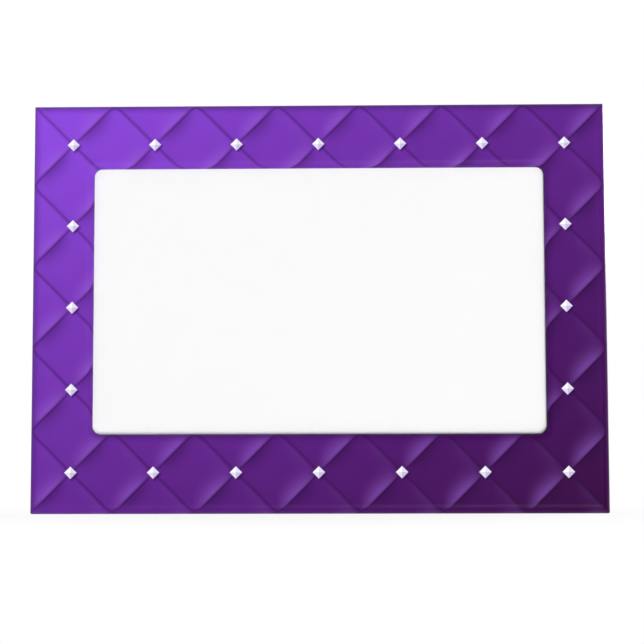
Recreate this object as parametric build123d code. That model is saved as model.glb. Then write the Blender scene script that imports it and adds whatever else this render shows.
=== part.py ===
from build123d import *
import os

# Magnetic photo frame for a print of 6 by 4 inches, held flat on a steel surface by four magnets.
# A white moulded tray wears a printed gloss film that rolls over its edges. Three foam tape strips
# bond a flat back plate into the tray and leave a slot between them, open at the top edge, where
# the print and its clear cover slide in and out.
# All sizes are millimetres. +X is the viewer's right, +Z is up, and the face looks along -Y.
# The origin is the middle of the rear face, on the plane that lies against the steel.

# Print and clear cover
PRINT_WIDTH = 152.4
PRINT_HEIGHT = 101.6
CARD_THICKNESS = 0.3
COVER_THICKNESS = 0.25
SHEET_CORNER_RADIUS = 1.0

# Slot: the play around the sheets
SHEET_GAP = 0.1
SIDE_GAP = 0.3
STOP_GAP = 0.1

# Face: how far it laps over the print, and the borders round its opening
SIDE_LAP = 6.35
UPRIGHT_LAP = 9.525
SIDE_BORDER = 19.05
TOP_BORDER = 20.0
BOTTOM_BORDER = 24.45
OPENING_CORNER_RADIUS = 2.5
OPENING_ROLL = 2.4

# Outer edges
CORNER_RADIUS = 0.8
EDGE_ROLL = 3.0

# Walls
WRAP_THICKNESS = 0.2
FACE_WALL = 2.0
SKIRT_WALL = 2.0

# Magnets, their adhesive pads and their pockets
MAGNET_DIAMETER = 18.0
MAGNET_THICKNESS = 3.0
MAGNET_CHAMFER = 0.4
MAGNET_INSET = 17.0
PAD_MARGIN = 1.0
PAD_THICKNESS = 0.25
POCKET_GAP = 0.15
POCKET_FLOOR = 0.9

# Back plate
PLATE_GAP = 0.2
PLATE_EDGE_CHAMFER = 0.4
NOTCH_WIDTH = 26.0
NOTCH_DEPTH = 21.0

# Depths, built up from the rear face at y = 0 to the face
REAR = 0.0
MAGNET_FRONT = REAR - MAGNET_THICKNESS
POCKET_FRONT = MAGNET_FRONT - PAD_THICKNESS
SLOT_REAR = POCKET_FRONT - POCKET_FLOOR
CARD_REAR = SLOT_REAR - SHEET_GAP
CARD_FRONT = CARD_REAR - CARD_THICKNESS
COVER_REAR = CARD_FRONT - SHEET_GAP
COVER_FRONT = COVER_REAR - COVER_THICKNESS
SLOT_FRONT = COVER_FRONT - SHEET_GAP
FACE = SLOT_FRONT - FACE_WALL - WRAP_THICKNESS

# Widths and heights that several pieces share
OPENING_WIDTH = PRINT_WIDTH - 2 * SIDE_LAP
OPENING_HEIGHT = PRINT_HEIGHT - 2 * UPRIGHT_LAP
FRAME_WIDTH = OPENING_WIDTH + 2 * SIDE_BORDER
FRAME_HEIGHT = OPENING_HEIGHT + TOP_BORDER + BOTTOM_BORDER
TOP = FRAME_HEIGHT / 2
OPENING_CENTRE = TOP - TOP_BORDER - OPENING_HEIGHT / 2
PRINT_BOTTOM = OPENING_CENTRE - PRINT_HEIGHT / 2
TRAY_WIDTH = FRAME_WIDTH - 2 * (WRAP_THICKNESS + SKIRT_WALL)
TRAY_HEIGHT = FRAME_HEIGHT - 2 * (WRAP_THICKNESS + SKIRT_WALL)
SLOT_WIDTH = PRINT_WIDTH + 2 * SIDE_GAP


def prism(outline, front, rear):
    """An outline drawn in the XZ plane, made solid from y = front to y = rear."""
    return extrude(Plane.XZ.offset(-rear) * outline, rear - front)


def block(left, right, bottom, top, front, rear):
    """A plain box between two planes along each axis."""
    outline = Pos((left + right) / 2, (bottom + top) / 2) * Rectangle(right - left, top - bottom)
    return prism(outline, front, rear)


def rolled_plate(width, height, front, rear, corner_radius, roll):
    """A plate whose four front edges roll over and meet in mitred corners."""
    slab = prism(Rectangle(width, height), front, rear)
    slab = fillet(slab.faces().sort_by(Axis.Y)[0].edges(), roll)
    return slab & prism(RectangleRounded(width, height, corner_radius), front, rear)


def frame_outside(inset):
    """The frame's outside with its opening, taken in by inset from every finished surface."""
    front = FACE + inset
    plate = rolled_plate(
        FRAME_WIDTH - 2 * inset,
        FRAME_HEIGHT - 2 * inset,
        front,
        REAR,
        CORNER_RADIUS - inset,
        EDGE_ROLL - inset,
    )
    opening = Pos(0, OPENING_CENTRE) * RectangleRounded(
        OPENING_WIDTH + 2 * inset,
        OPENING_HEIGHT + 2 * inset,
        OPENING_CORNER_RADIUS + inset,
    )
    ring = plate - prism(opening, front, REAR)
    mouth = ring.faces().sort_by(Axis.Y)[0].inner_wires()[0].edges()
    return fillet(mouth, OPENING_ROLL - inset)


def tray_space():
    """What the tray is hollowed by: the room behind its face, and the slot's way out at the top."""
    room = block(
        -TRAY_WIDTH / 2, TRAY_WIDTH / 2, -TRAY_HEIGHT / 2, TRAY_HEIGHT / 2, SLOT_FRONT, REAR
    )
    way_out = block(-SLOT_WIDTH / 2, SLOT_WIDTH / 2, 0, TOP, SLOT_FRONT, REAR)
    return room + way_out


def printed_wrap():
    """The printed film on the face, round the outer edges to the rear and into the opening."""
    return frame_outside(0) - frame_outside(WRAP_THICKNESS) - tray_space()


def front_moulding():
    """The white tray: a face with the opening, and a skirt that the back plate drops into."""
    return frame_outside(WRAP_THICKNESS) - tray_space()


def sheet(front, rear):
    """A sheet of the print's size in the slot, standing on the bottom strip."""
    outline = RectangleRounded(PRINT_WIDTH, PRINT_HEIGHT, SHEET_CORNER_RADIUS)
    return prism(Pos(0, OPENING_CENTRE) * outline, front, rear)


def side_strip(side):
    """A foam tape strip that guides one side of the print; side is -1 or +1."""
    left, right = sorted((side * SLOT_WIDTH / 2, side * TRAY_WIDTH / 2))
    return block(left, right, -TRAY_HEIGHT / 2, TRAY_HEIGHT / 2, SLOT_FRONT, SLOT_REAR)


def bottom_strip():
    """The foam tape strip that the print and its cover stand on."""
    return block(
        -SLOT_WIDTH / 2,
        SLOT_WIDTH / 2,
        -TRAY_HEIGHT / 2,
        PRINT_BOTTOM - STOP_GAP,
        SLOT_FRONT,
        SLOT_REAR,
    )


def magnet_places():
    """Each magnet's name and its centre in the XZ plane."""
    places = {}
    for row, up in (("upper", 1), ("lower", -1)):
        for column, right in (("left", -1), ("right", 1)):
            x = right * (FRAME_WIDTH / 2 - MAGNET_INSET)
            z = up * (FRAME_HEIGHT / 2 - MAGNET_INSET)
            places[f"{row}_{column}"] = Pos(x, z)
    return places


def magnet(place):
    """A ferrite disc, flush with the rear face."""
    disc = prism(place * Circle(MAGNET_DIAMETER / 2), MAGNET_FRONT, REAR)
    return chamfer(disc.edges().filter_by(GeomType.CIRCLE), MAGNET_CHAMFER)


def magnet_pad(place):
    """The double-sided adhesive disc under a magnet."""
    return prism(place * Circle(MAGNET_DIAMETER / 2 - PAD_MARGIN), POCKET_FRONT, MAGNET_FRONT)


def thumb_notch():
    """The round-ended notch in the top of the back plate, where a thumb pushes the print up."""
    radius = NOTCH_WIDTH / 2
    end = TOP - NOTCH_DEPTH + radius
    straight = block(-radius, radius, end, TOP, SLOT_REAR, REAR)
    return straight + prism(Pos(0, end) * Circle(radius), SLOT_REAR, REAR)


def back_plate():
    """The flat back, with a tongue that closes the slot's mouth and a pocket for each magnet."""
    outline = Rectangle(TRAY_WIDTH - 2 * PLATE_GAP, TRAY_HEIGHT - 2 * PLATE_GAP)
    half_tongue = SLOT_WIDTH / 2 - PLATE_GAP
    plate = prism(outline, SLOT_REAR, REAR)
    plate += block(-half_tongue, half_tongue, 0, TOP - PLATE_GAP, SLOT_REAR, REAR)
    plate -= thumb_notch()
    rim = plate.faces().sort_by(Axis.Y)[-1].outer_wire().edges()
    plate = chamfer(rim, PLATE_EDGE_CHAMFER)
    for place in magnet_places().values():
        pocket = Circle(MAGNET_DIAMETER / 2 + POCKET_GAP)
        plate -= prism(place * pocket, POCKET_FRONT, REAR)
    return plate


pieces = {
    "printed_wrap": printed_wrap(),
    "front_moulding": front_moulding(),
    "clear_cover": sheet(COVER_FRONT, COVER_REAR),
    "photo_card": sheet(CARD_FRONT, CARD_REAR),
    "slot_strip_left": side_strip(-1),
    "slot_strip_right": side_strip(1),
    "slot_strip_bottom": bottom_strip(),
    "back_plate": back_plate(),
}
for name, place in magnet_places().items():
    pieces[f"magnet_{name}"] = magnet(place)
    pieces[f"magnet_pad_{name}"] = magnet_pad(place)

os.makedirs("parts", exist_ok=True)
for name, piece in pieces.items():
    export_step(piece, f"parts/{name}.step")
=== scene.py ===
import math

import bmesh
import bpy
from mathutils import Matrix, Vector


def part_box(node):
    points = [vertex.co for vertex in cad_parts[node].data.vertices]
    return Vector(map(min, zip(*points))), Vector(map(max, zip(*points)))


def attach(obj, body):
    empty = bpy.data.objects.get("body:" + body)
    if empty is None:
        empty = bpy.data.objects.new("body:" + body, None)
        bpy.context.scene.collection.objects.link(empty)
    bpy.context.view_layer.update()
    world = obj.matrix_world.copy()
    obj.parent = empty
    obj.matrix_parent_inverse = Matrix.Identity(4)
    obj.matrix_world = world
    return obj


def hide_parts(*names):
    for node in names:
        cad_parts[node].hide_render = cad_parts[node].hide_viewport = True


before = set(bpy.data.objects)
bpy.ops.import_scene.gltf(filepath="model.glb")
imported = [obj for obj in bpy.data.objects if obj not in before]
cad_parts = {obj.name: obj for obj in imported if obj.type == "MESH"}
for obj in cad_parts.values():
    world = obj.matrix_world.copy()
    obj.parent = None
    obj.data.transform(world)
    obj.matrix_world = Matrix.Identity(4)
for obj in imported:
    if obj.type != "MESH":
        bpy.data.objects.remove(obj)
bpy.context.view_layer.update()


# Front moulding: a white tray of injection-moulded styrene. Its face and skirt carry the printed film,
# so that only the rim at the rear and the inside of the slot show it bare.
# It has the fine satin grain of a lightly blasted mould.
MM = 0.001
WHITE_STYRENE = (232, 232, 229)
WHITE_STYRENE_SHADE = (224, 223, 219)
STYRENE_CLOUD = 9 * MM
STYRENE_ROUGHNESS = (0.4, 0.5)
STYRENE_GRAIN = 0.35 * MM
STYRENE_GRAIN_DEPTH = 0.01 * MM
BLOTCH_LEAST = 0.3
BLOTCH_MOST = 0.7


def tint(red, green, blue):
    """A colour in the bytes that a screen shows, as the linear values that a shader takes."""
    shares = [byte / 255 for byte in (red, green, blue)]
    linear = [s / 12.92 if s <= 0.04045 else ((s + 0.055) / 1.055) ** 2.4 for s in shares]
    return (*linear, 1.0)


def feed(tree, socket, value):
    """Links a socket to another one, or sets it to a plain value."""
    if isinstance(value, bpy.types.NodeSocket):
        tree.links.new(value, socket)
    else:
        socket.default_value = value


def calc(tree, operation, *values):
    """The result of a calculation on numbers and sockets."""
    node = tree.nodes.new("ShaderNodeMath")
    node.operation = operation
    for socket, value in zip(node.inputs, values):
        feed(tree, socket, value)
    return node.outputs[0]


def ease(tree, value, low, high):
    """0 below low, 1 above high and a smooth rise between them."""
    node = tree.nodes.new("ShaderNodeMapRange")
    node.interpolation_type = "SMOOTHSTEP"
    feed(tree, node.inputs["Value"], value)
    node.inputs["From Min"].default_value = low
    node.inputs["From Max"].default_value = high
    return node.outputs["Result"]


def blend(tree, share, first, second):
    """A colour that goes from the first to the second as share goes from 0 to 1."""
    node = tree.nodes.new("ShaderNodeMix")
    node.data_type = "RGBA"
    feed(tree, node.inputs["Factor"], share)
    feed(tree, node.inputs["A"], first)
    feed(tree, node.inputs["B"], second)
    return node.outputs["Result"]


def new_finish(name):
    """A fresh finish, with its node tree and its shader."""
    finish = bpy.data.materials.new(name)
    finish.use_nodes = True
    return finish, finish.node_tree, finish.node_tree.nodes["Principled BSDF"]


def place_on_piece(tree):
    """The point of the piece that is being shaded, in metres in the frame's own axes."""
    return tree.nodes.new("ShaderNodeTexCoord").outputs["Object"]


def mottle(tree, lump, detail=2.0, stretch=1):
    """Soft random blotches about one lump wide, drawn out along the frame's long side by stretch."""
    mapping = tree.nodes.new("ShaderNodeMapping")
    mapping.inputs["Scale"].default_value = (1 / stretch, 1, 1)
    feed(tree, mapping.inputs["Vector"], place_on_piece(tree))
    noise = tree.nodes.new("ShaderNodeTexNoise")
    noise.inputs["Scale"].default_value = 1 / lump
    noise.inputs["Detail"].default_value = detail
    feed(tree, noise.inputs["Vector"], mapping.outputs["Vector"])
    return noise.outputs["Fac"]


def relief(tree, shader, height, depth):
    """Raises a surface by up to depth where height is 1."""
    node = tree.nodes.new("ShaderNodeBump")
    node.inputs["Distance"].default_value = depth
    feed(tree, node.inputs["Height"], height)
    feed(tree, shader.inputs["Normal"], node.outputs["Normal"])


def spread(tree, value, low, high):
    """Stretches a blotch pattern, which stays near a half, over the range from low to high."""
    node = tree.nodes.new("ShaderNodeMapRange")
    feed(tree, node.inputs["Value"], value)
    node.inputs["From Min"].default_value = BLOTCH_LEAST
    node.inputs["From Max"].default_value = BLOTCH_MOST
    node.inputs["To Min"].default_value = low
    node.inputs["To Max"].default_value = high
    return node.outputs["Result"]


def dress(finish, *nodes):
    """Puts a finish on pieces of the frame."""
    for name in nodes:
        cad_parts[name].material_slots[0].material = finish


styrene, tree, shader = new_finish("white_styrene")
cloud = mottle(tree, STYRENE_CLOUD)
colour = blend(tree, cloud, tint(*WHITE_STYRENE_SHADE), tint(*WHITE_STYRENE))
feed(tree, shader.inputs["Base Color"], colour)
feed(tree, shader.inputs["Roughness"], spread(tree, cloud, *STYRENE_ROUGHNESS))
relief(tree, shader, mottle(tree, STYRENE_GRAIN), STYRENE_GRAIN_DEPTH)
dress(styrene, "front_moulding")


# Printed film: a thin gloss film, printed and drawn tight over the tray. It covers the face, rolls over
# the outer edges as far as the rear, where its cut edge shows white, and turns into the opening.
# Its print is a quilted lozenge lattice, studded at every other crossing, on ink from violet to plum.
FILM_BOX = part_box("printed_wrap")
FILM_SIZE = FILM_BOX[1] - FILM_BOX[0]
FILM_CORE = (232, 229, 236)
CUT_DEPTH = 0.02 * MM
VIOLET = (145, 76, 229)
PLUM = (53, 1, 59)
INK_STOPS = 5
INK_LEAN = 1.18
LOZENGE_COLUMNS = 7
LOZENGE_ROWS = 5
LOZENGE_WIDTH = FILM_SIZE.x / LOZENGE_COLUMNS
LOZENGE_HEIGHT = FILM_SIZE.z / LOZENGE_ROWS
LOZENGE_SIDE = LOZENGE_WIDTH * LOZENGE_HEIGHT / math.hypot(LOZENGE_WIDTH, LOZENGE_HEIGHT)
DEEP_PLUM = (34, 2, 48)
LILAC = (172, 112, 232)
SHADE_STRENGTH = 0.5
LIGHT_STRENGTH = 0.33
CROSS_LIGHT = 0.3
FULL_SLOPE = 1.1
SEAM_STRENGTH = 0.4
SEAM_WIDTH = 0.9 * MM
STUD_WHITE = (253, 252, 255)
STUD_SHADE = (204, 188, 230)
STUD_WIDTH = 3.8 * MM
STUD_BLUR = 0.1 * MM
STUD_SHADOW_SHIFT = 0.5 * MM
STUD_SHADOW_BLUR = 0.8 * MM
STUD_SHADOW_STRENGTH = 0.7
FILM_ROUGHNESS = 0.28
FILM_SPECULAR = 0.05
FILM_RIPPLE = 2.5 * MM
FILM_RIPPLE_DEPTH = 0.004 * MM


def facing(tree):
    """The way a point's surface faces, split into its three axes."""
    split = tree.nodes.new("ShaderNodeSeparateXYZ")
    feed(tree, split.inputs[0], tree.nodes.new("ShaderNodeNewGeometry").outputs["Normal"])
    return split.outputs


def unrolled(tree):
    """Where a point of the film lies on the flat print, across and up, and how far behind the face."""
    place = tree.nodes.new("ShaderNodeSeparateXYZ")
    feed(tree, place.inputs[0], place_on_piece(tree))
    way = facing(tree)
    behind_face = calc(tree, "SUBTRACT", place.outputs["Y"], FILM_BOX[0].y)
    across = calc(tree, "MULTIPLY_ADD", behind_face, way["X"], place.outputs["X"])
    up = calc(tree, "MULTIPLY_ADD", behind_face, way["Z"], place.outputs["Z"])
    return across, up, behind_face


def fading_ink(tree, across, up):
    """The ground colour, from the upper left to the lower right, faster downwards than across."""
    span = FILM_SIZE.x + INK_LEAN * FILM_SIZE.z
    slanted = calc(tree, "MULTIPLY_ADD", up, -INK_LEAN, across)
    ramp = tree.nodes.new("ShaderNodeValToRGB")
    feed(tree, ramp.inputs["Fac"], calc(tree, "MULTIPLY_ADD", slanted, 1 / span, 0.5))
    stops = ramp.color_ramp.elements
    while len(stops) < INK_STOPS:
        stops.new(0.5)
    for number, stop in enumerate(stops):
        stop.position = number / (INK_STOPS - 1)
        stop.color = tint(*Vector(VIOLET).lerp(Vector(PLUM), stop.position))
    return ramp.outputs["Color"]


def slants(tree, across, up):
    """Counts of lozenges along the two slants, rising and falling; seams are at whole numbers."""
    column = calc(tree, "DIVIDE", across, LOZENGE_WIDTH)
    row = calc(tree, "DIVIDE", up, LOZENGE_HEIGHT)
    return calc(tree, "ADD", column, row), calc(tree, "SUBTRACT", column, row)


def from_middle(tree, slant):
    """How far a point lies from the middle of its lozenge, from -1 to 1 between two seams."""
    return calc(tree, "MULTIPLY_ADD", calc(tree, "FRACT", slant), 2.0, -1.0)


def from_seam(tree, slant):
    """How far a point lies from the nearest seam, in metres."""
    return calc(tree, "MULTIPLY", calc(tree, "PINGPONG", slant, 0.5), LOZENGE_SIDE)


def fall(tree, along, beside):
    """The slope of a padded lozenge along one slant: level in the middle, steep at the seams."""
    steep = calc(tree, "MULTIPLY", along, calc(tree, "ABSOLUTE", along))
    inside = calc(tree, "SUBTRACT", 1.0, calc(tree, "MULTIPLY", beside, beside))
    return calc(tree, "MULTIPLY", steep, inside)


def from_stud(tree, value, pitch):
    """How far a point lies to either side of the nearest stud, in metres; studs are one pitch apart."""
    return calc(tree, "WRAP", value, pitch / 2, -pitch / 2)


def within_stud(tree, aside, above, blur):
    """1 inside a stud's outline, a square on its corner, and 0 outside, with a soft edge."""
    reach = calc(tree, "ADD", calc(tree, "ABSOLUTE", aside), calc(tree, "ABSOLUTE", above))
    return calc(tree, "SUBTRACT", 1.0, ease(tree, reach, STUD_WIDTH / 2 - blur, STUD_WIDTH / 2 + blur))


def stud_slopes(tree, aside, above):
    """The light on a stud's four slopes: 1 at the upper left, 0 at the lower right and a half between."""
    side = calc(tree, "SUBTRACT", calc(tree, "SIGN", above), calc(tree, "SIGN", aside))
    return calc(tree, "MULTIPLY_ADD", side, 0.25, 0.5)


film, tree, shader = new_finish("printed_film")
across, up, behind_face = unrolled(tree)
upward, downward = slants(tree, across, up)
rise, drop = from_middle(tree, upward), from_middle(tree, downward)
slope = calc(tree, "MULTIPLY_ADD", fall(tree, rise, drop), CROSS_LIGHT, fall(tree, drop, rise))
seam = calc(tree, "MINIMUM", from_seam(tree, upward), from_seam(tree, downward))
in_shade = ease(tree, calc(tree, "MULTIPLY", slope, -1.0), 0.0, FULL_SLOPE)
in_light = ease(tree, slope, 0.0, FULL_SLOPE)
in_seam = calc(tree, "SUBTRACT", 1.0, ease(tree, seam, 0.0, SEAM_WIDTH))
colour = fading_ink(tree, across, up)
colour = blend(tree, calc(tree, "MULTIPLY", in_shade, SHADE_STRENGTH), colour, tint(*DEEP_PLUM))
colour = blend(tree, calc(tree, "MULTIPLY", in_light, LIGHT_STRENGTH), colour, tint(*LILAC))
colour = blend(tree, calc(tree, "MULTIPLY", in_seam, SEAM_STRENGTH), colour, tint(*DEEP_PLUM))
aside, above = from_stud(tree, across, LOZENGE_WIDTH), from_stud(tree, up, LOZENGE_HEIGHT)
shadow_aside = calc(tree, "SUBTRACT", aside, STUD_SHADOW_SHIFT)
shadow_above = calc(tree, "ADD", above, STUD_SHADOW_SHIFT)
in_shadow = within_stud(tree, shadow_aside, shadow_above, STUD_SHADOW_BLUR)
colour = blend(tree, calc(tree, "MULTIPLY", in_shadow, STUD_SHADOW_STRENGTH), colour, tint(*DEEP_PLUM))
stud_colour = blend(tree, stud_slopes(tree, aside, above), tint(*STUD_SHADE), tint(*STUD_WHITE))
colour = blend(tree, within_stud(tree, aside, above, STUD_BLUR), colour, stud_colour)
at_cut_edge = calc(tree, "GREATER_THAN", behind_face, FILM_SIZE.y - CUT_DEPTH)
feed(tree, shader.inputs["Base Color"], blend(tree, at_cut_edge, colour, tint(*FILM_CORE)))
shader.inputs["Roughness"].default_value = FILM_ROUGHNESS
shader.inputs["Specular IOR Level"].default_value = FILM_SPECULAR
relief(tree, shader, mottle(tree, FILM_RIPPLE, detail=1.0), FILM_RIPPLE_DEPTH)
dress(film, "printed_wrap")


# Foam tape: three strips of white foam with adhesive on both faces. They bond the back plate into the
# tray and keep it off the face by the depth of the slot.
# The foam is closed-cell, so its cut edges are full of small round pits, and pressure rounds them. The
# pits carry painted shade, darker than the cell walls.
FOAM_WHITE = (226, 225, 220)
FOAM_PIT_SHADE = (196, 194, 188)
FOAM_ROUGHNESS = 0.85
FOAM_CELL = 0.35 * MM
FOAM_CELL_WALL = (0.1, 0.6)
FOAM_PIT_DEPTH = 0.08 * MM
FOAM_EDGE_ROUND = 0.3 * MM
FOAM_EDGE_STEPS = 4


def finished(bm, name, finish):
    """Makes an object of a shape, at the origin and with one finish."""
    mesh = bpy.data.meshes.new(name)
    bm.to_mesh(mesh)
    bm.free()
    mesh.materials.append(finish)
    thing = bpy.data.objects.new(name, mesh)
    bpy.context.scene.collection.objects.link(thing)
    return thing


def foam_strip(node):
    """A strip in the room of its solid, with its cut edges rounded."""
    low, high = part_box(node)
    bm = bmesh.new()
    bmesh.ops.create_cube(bm, size=1)
    bmesh.ops.scale(bm, vec=high - low, verts=bm.verts)
    bmesh.ops.translate(bm, vec=(low + high) / 2, verts=bm.verts)
    bmesh.ops.bevel(
        bm,
        geom=bm.edges[:],
        offset=FOAM_EDGE_ROUND,
        segments=FOAM_EDGE_STEPS,
        profile=0.5,
        affect="EDGES",
        material=-1,
    )
    strip = finished(bm, f"foam_{node}", foam)
    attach(strip, "frame")
    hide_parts(node)


foam, tree, shader = new_finish("foam_tape")
cells = tree.nodes.new("ShaderNodeTexVoronoi")
cells.inputs["Scale"].default_value = 1 / FOAM_CELL
feed(tree, cells.inputs["Vector"], place_on_piece(tree))
wall = ease(tree, cells.outputs["Distance"], *FOAM_CELL_WALL)
# Painted shade: the pits are coloured darker than the cell walls around them.
feed(tree, shader.inputs["Base Color"], blend(tree, wall, tint(*FOAM_PIT_SHADE), tint(*FOAM_WHITE)))
shader.inputs["Roughness"].default_value = FOAM_ROUGHNESS
relief(tree, shader, wall, FOAM_PIT_DEPTH)
for side in ("left", "right", "bottom"):
    foam_strip(f"slot_strip_{side}")


# Clear cover: a sheet of clear polished plastic that slides in the slot in front of the print.
# Its cut edges carry a painted blue-grey glow that stands for the light gathering there, with the sheet's
# own faint tint.
CUT_EDGE_GLOW_AND_TINT = (142, 172, 186)
CUT_EDGE_ROUGHNESS = 0.25
CUT_EDGE_OPACITY = 0.85
POLISH_ROUGHNESS = 0.04
LEAST_GLINT = 0.035
GLINT_STEEPNESS = 5.0
FLAT_SIDE = 0.5  # a face that turns at least this far to the front or the rear is no edge


def overlay(tree, share, first, second):
    """A surface that goes from the first to the second as share goes from 0 to 1."""
    node = tree.nodes.new("ShaderNodeMixShader")
    feed(tree, node.inputs[0], share)
    feed(tree, node.inputs[1], first.outputs[0])
    feed(tree, node.inputs[2], second.outputs[0])
    return node


def cover_with(tree, surface):
    """Makes a surface the one that a finish shows."""
    feed(tree, tree.nodes["Material Output"].inputs["Surface"], surface.outputs[0])


clear, tree, shader = new_finish("clear_sheet")
through = tree.nodes.new("ShaderNodeBsdfTransparent")
gloss = tree.nodes.new("ShaderNodeBsdfGlossy")
gloss.inputs["Roughness"].default_value = POLISH_ROUGHNESS
slant = tree.nodes.new("ShaderNodeLayerWeight").outputs["Facing"]
steep = calc(tree, "POWER", slant, GLINT_STEEPNESS)
glint = calc(tree, "MULTIPLY_ADD", steep, 1 - LEAST_GLINT, LEAST_GLINT)
at_edge = calc(tree, "LESS_THAN", calc(tree, "ABSOLUTE", facing(tree)["Y"]), FLAT_SIDE)
# Painted glow: the cut edges' blue grey stands for light gathered in the sheet, over its faint tint.
shader.inputs["Base Color"].default_value = tint(*CUT_EDGE_GLOW_AND_TINT)
shader.inputs["Roughness"].default_value = CUT_EDGE_ROUGHNESS
shader.inputs["Alpha"].default_value = CUT_EDGE_OPACITY
cover_with(tree, overlay(tree, at_edge, overlay(tree, glint, through, gloss), shader))
dress(clear, "clear_cover")


# Photo card: the blank white insert that fills the slot until a print takes its place.
# It is smooth coated card, a little greyer and rougher on the back.
CARD_WHITE = (251, 251, 251)
CARD_FIBRE = (247, 247, 247)
CARD_BACK = (229, 228, 223)
CARD_BACK_FIBRE = (214, 212, 206)
CARD_FIBRE_WIDTH = 0.5 * MM
CARD_FIBRE_STRETCH = 3
CARD_FIBRE_DEPTH = 0.006 * MM
CARD_ROUGHNESS = (0.5, 0.6)
CARD_BACK_ROUGHER = 0.3
CARD_SPECULAR = 0.3

card, tree, shader = new_finish("white_card")
fibre = mottle(tree, CARD_FIBRE_WIDTH, detail=4.0, stretch=CARD_FIBRE_STRETCH)
on_back = calc(tree, "GREATER_THAN", facing(tree)["Y"], FLAT_SIDE)
coated = blend(tree, fibre, tint(*CARD_FIBRE), tint(*CARD_WHITE))
uncoated = blend(tree, fibre, tint(*CARD_BACK_FIBRE), tint(*CARD_BACK))
feed(tree, shader.inputs["Base Color"], blend(tree, on_back, coated, uncoated))
coated_roughness = spread(tree, fibre, *CARD_ROUGHNESS)
roughness = calc(tree, "MULTIPLY_ADD", on_back, CARD_BACK_ROUGHER, coated_roughness)
feed(tree, shader.inputs["Roughness"], roughness)
shader.inputs["Specular IOR Level"].default_value = CARD_SPECULAR
relief(tree, shader, fibre, CARD_FIBRE_DEPTH)
dress(card, "photo_card")


# Back plate: a flat black moulding that drops into the tray, with a round pocket for each magnet and a
# notch for the thumb. Its skin is a spark-eroded texture, rubbed smoother and greyer along the edges, and
# its inner side, against the print, is plain.
BLACK_PLASTIC = (14, 14, 16)
BLACK_PLASTIC_GREYER = (52, 52, 54)
BLACK_PLASTIC_RUBBED = (78, 78, 80)
SPARK_WIDTH = 0.8 * MM
SPARK_DEPTH = 0.22 * MM
RUB_WIDTH = 5 * MM
RUB_STRENGTH = (0.2, 0.9)
RUB_SMOOTHING = 0.15
PLATE_CLOUD = 22 * MM
PLATE_ROUGHNESS = (0.45, 0.58)
PLATE_SPECULAR = 0.35
CHAMFER_FACING = math.sqrt(0.5)
CHAMFER_PLAY = 0.2


def on_chamfer(tree):
    """1 where a face slants halfway between the rear and a side, as the chamfers do."""
    level = calc(tree, "ABSOLUTE", facing(tree)["Y"])
    return calc(tree, "COMPARE", level, CHAMFER_FACING, CHAMFER_PLAY)


black, tree, shader = new_finish("black_moulding")
on_skin = calc(tree, "GREATER_THAN", facing(tree)["Y"], -FLAT_SIDE)
sparks = calc(tree, "MULTIPLY", on_skin, mottle(tree, SPARK_WIDTH, detail=4.0))
cloud = mottle(tree, PLATE_CLOUD, detail=3.0)
rub = spread(tree, mottle(tree, RUB_WIDTH), *RUB_STRENGTH)
rubbed = calc(tree, "MULTIPLY", on_chamfer(tree), rub)
colour = blend(tree, spread(tree, sparks, 0.0, 1.0), tint(*BLACK_PLASTIC), tint(*BLACK_PLASTIC_GREYER))
feed(tree, shader.inputs["Base Color"], blend(tree, rubbed, colour, tint(*BLACK_PLASTIC_RUBBED)))
roughness = calc(tree, "MULTIPLY_ADD", rubbed, -RUB_SMOOTHING, spread(tree, cloud, *PLATE_ROUGHNESS))
feed(tree, shader.inputs["Roughness"], roughness)
shader.inputs["Specular IOR Level"].default_value = PLATE_SPECULAR
relief(tree, shader, sparks, SPARK_DEPTH)
dress(black, "back_plate")


# Magnets: four ferrite discs, each stuck into its pocket on an adhesive disc and flush with the rear.
# Ferrite is a dark grey ceramic. Its ground faces have fine lines and its edges small pale chips.
MAGNET_CORNERS = ("upper_left", "upper_right", "lower_left", "lower_right")
FERRITE = (92, 92, 96)
FERRITE_DARK = (60, 60, 64)
FERRITE_CHIP = (146, 146, 148)
FERRITE_ROUGHNESS = (0.4, 0.55)
FERRITE_METALLIC = 0.25
GRIND_WIDTH = 0.25 * MM
GRIND_STRETCH = 60
GRIND_DEPTH = 0.02 * MM
CHIP_WIDTH = 0.9 * MM
CHIP_EDGE = (0.5, 0.6)

ferrite, tree, shader = new_finish("ferrite")
lines = mottle(tree, GRIND_WIDTH, detail=3.0, stretch=GRIND_STRETCH)
chip = ease(tree, mottle(tree, CHIP_WIDTH, detail=3.0), *CHIP_EDGE)
chipped = calc(tree, "MULTIPLY", on_chamfer(tree), chip)
colour = blend(tree, lines, tint(*FERRITE_DARK), tint(*FERRITE))
feed(tree, shader.inputs["Base Color"], blend(tree, chipped, colour, tint(*FERRITE_CHIP)))
feed(tree, shader.inputs["Roughness"], spread(tree, lines, *FERRITE_ROUGHNESS))
shader.inputs["Metallic"].default_value = FERRITE_METALLIC
relief(tree, shader, lines, GRIND_DEPTH)
dress(ferrite, *[f"magnet_{corner}" for corner in MAGNET_CORNERS])
dress(foam, *[f"magnet_pad_{corner}" for corner in MAGNET_CORNERS])


# Floor: a plain pale surface that the frame stands on. It fades into the white background a little way
# out, keeps the frame's shadow close by and lets the room's glow through from below.
FLOOR_REACH = 3.0
FLOOR_GAP = 0.02 * MM
FLOOR_ROUGHNESS = 0.9
FADE = (0.03, 0.11)
FADE_SQUEEZE = 0.75
NEAR_GLOW = 0.9
PALE = (0.9, 0.9, 0.9, 1.0)
WHITE = (1.0, 1.0, 1.0, 1.0)


def seen_directly(tree):
    """1 for what the camera sees, straight, in a gloss or through a clear sheet, else 0."""
    path = tree.nodes.new("ShaderNodeLightPath")
    straight = path.outputs["Is Camera Ray"]
    mirrored = path.outputs["Is Glossy Ray"]
    passed = path.outputs["Is Transmission Ray"]
    return calc(tree, "MAXIMUM", calc(tree, "MAXIMUM", straight, mirrored), passed)


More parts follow.
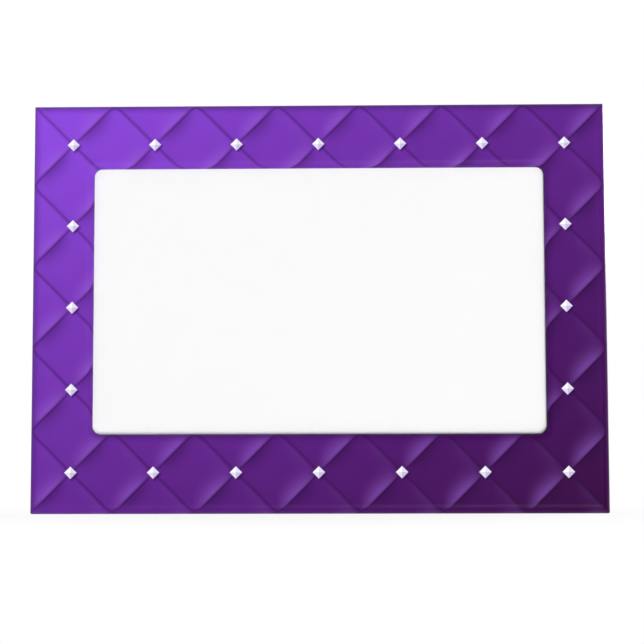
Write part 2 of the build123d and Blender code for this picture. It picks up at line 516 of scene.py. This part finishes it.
pale, tree, shader = new_finish("pale_floor")
shader.inputs["Base Color"].default_value = PALE
shader.inputs["Roughness"].default_value = FLOOR_ROUGHNESS
shader.inputs["Specular IOR Level"].default_value = 0.0
squeezed = tree.nodes.new("ShaderNodeMapping")
squeezed.inputs["Scale"].default_value = (FADE_SQUEEZE, 1, 0)
feed(tree, squeezed.inputs["Vector"], place_on_piece(tree))
distance = tree.nodes.new("ShaderNodeVectorMath")
distance.operation = "LENGTH"
feed(tree, distance.inputs[0], squeezed.outputs["Vector"])
far = ease(tree, distance.outputs["Value"], *FADE)
share = calc(tree, "MULTIPLY_ADD", far, 1 - NEAR_GLOW, NEAR_GLOW)
glow = tree.nodes.new("ShaderNodeEmission")
glow.inputs["Color"].default_value = WHITE
cover_with(tree, overlay(tree, calc(tree, "MULTIPLY", share, seen_directly(tree)), shader, glow))
bm = bmesh.new()
bmesh.ops.create_grid(bm, x_segments=1, y_segments=1, size=FLOOR_REACH)
bmesh.ops.translate(bm, vec=(0, 0, FILM_BOX[0].z - FLOOR_GAP), verts=bm.verts)
floor = finished(bm, "floor", pale)
floor.visible_diffuse = False
floor.visible_shadow = False


# Light: a white room that is seen as background. It gives an even glow and a stronger one from the
# front, low down and a little to the right, as from a lit screen. Two soft lamps in front and one
# behind do the rest.
ROOM_GLOW = 0.26
SCREEN_GLOW = 15.3
SCREEN_WAY = Vector((0.26, -1.0, -0.54)).normalized()
SCREEN_NARROWNESS = 40.0

world = bpy.data.worlds.new("white_room")
bpy.context.scene.world = world
world.use_nodes = True
tree = world.node_tree
background = tree.nodes["Background"]
background.inputs["Color"].default_value = WHITE
towards_screen = tree.nodes.new("ShaderNodeVectorMath")
towards_screen.operation = "DOT_PRODUCT"
feed(tree, towards_screen.inputs[0], tree.nodes.new("ShaderNodeTexCoord").outputs["Generated"])
towards_screen.inputs[1].default_value = SCREEN_WAY
in_front = calc(tree, "MAXIMUM", towards_screen.outputs["Value"], 0.0)
screen = calc(tree, "POWER", in_front, SCREEN_NARROWNESS)
room = calc(tree, "MULTIPLY_ADD", screen, SCREEN_GLOW, ROOM_GLOW)
seen = seen_directly(tree)
unseen = calc(tree, "SUBTRACT", 1.0, seen)
feed(tree, background.inputs["Strength"], calc(tree, "MULTIPLY_ADD", room, unseen, seen))


def soft_lamp(name, place, size, power):
    """A square soft lamp that faces the middle of the frame."""
    lamp = bpy.data.lights.new(name, "AREA")
    lamp.size = size
    lamp.energy = power
    holder = bpy.data.objects.new(name, lamp)
    holder.location = place
    holder.rotation_euler = (-Vector(place)).to_track_quat("-Z", "Y").to_euler()
    bpy.context.scene.collection.objects.link(holder)


soft_lamp("right_lamp", place=(0.65, -1.15, 0.1), size=0.7, power=2.0)
soft_lamp("left_lamp", place=(-0.65, -1.15, 0.1), size=0.7, power=1.0)
soft_lamp("rear_lamp", place=(0.75, 1.0, 0.4), size=0.5, power=12.5)


# Camera: in front of the frame, a little below its middle and to its right, as far off as for a table-top
# shot. It looks slightly upwards, and its lens lets the frame fill most of the picture's width.
CAMERA_DISTANCE = 0.5
CAMERA_AIM = Vector((1.0 * MM, -5.0 * MM, -4.53 * MM))
CAMERA_TURN = math.radians(1.064)
CAMERA_RISE = math.radians(-4.667)
CAMERA_ROLL = math.radians(-0.123)
CAMERA_LENS = 90.38
CAMERA_NEAR = 10 * MM

camera = bpy.data.objects.new("camera", bpy.data.cameras.new("camera"))
bpy.context.scene.collection.objects.link(camera)
bpy.context.scene.camera = camera
camera.data.lens = CAMERA_LENS
camera.data.clip_start = CAMERA_NEAR
back = Vector((
    math.sin(CAMERA_TURN) * math.cos(CAMERA_RISE),
    -math.cos(CAMERA_TURN) * math.cos(CAMERA_RISE),
    math.sin(CAMERA_RISE),
))
turn = (-back).to_track_quat("-Z", "Y").to_matrix().to_4x4() @ Matrix.Rotation(CAMERA_ROLL, 4, "Z")
camera.matrix_world = Matrix.Translation(CAMERA_AIM + back * CAMERA_DISTANCE) @ turn
bpy.context.scene.view_settings.view_transform = "Standard"
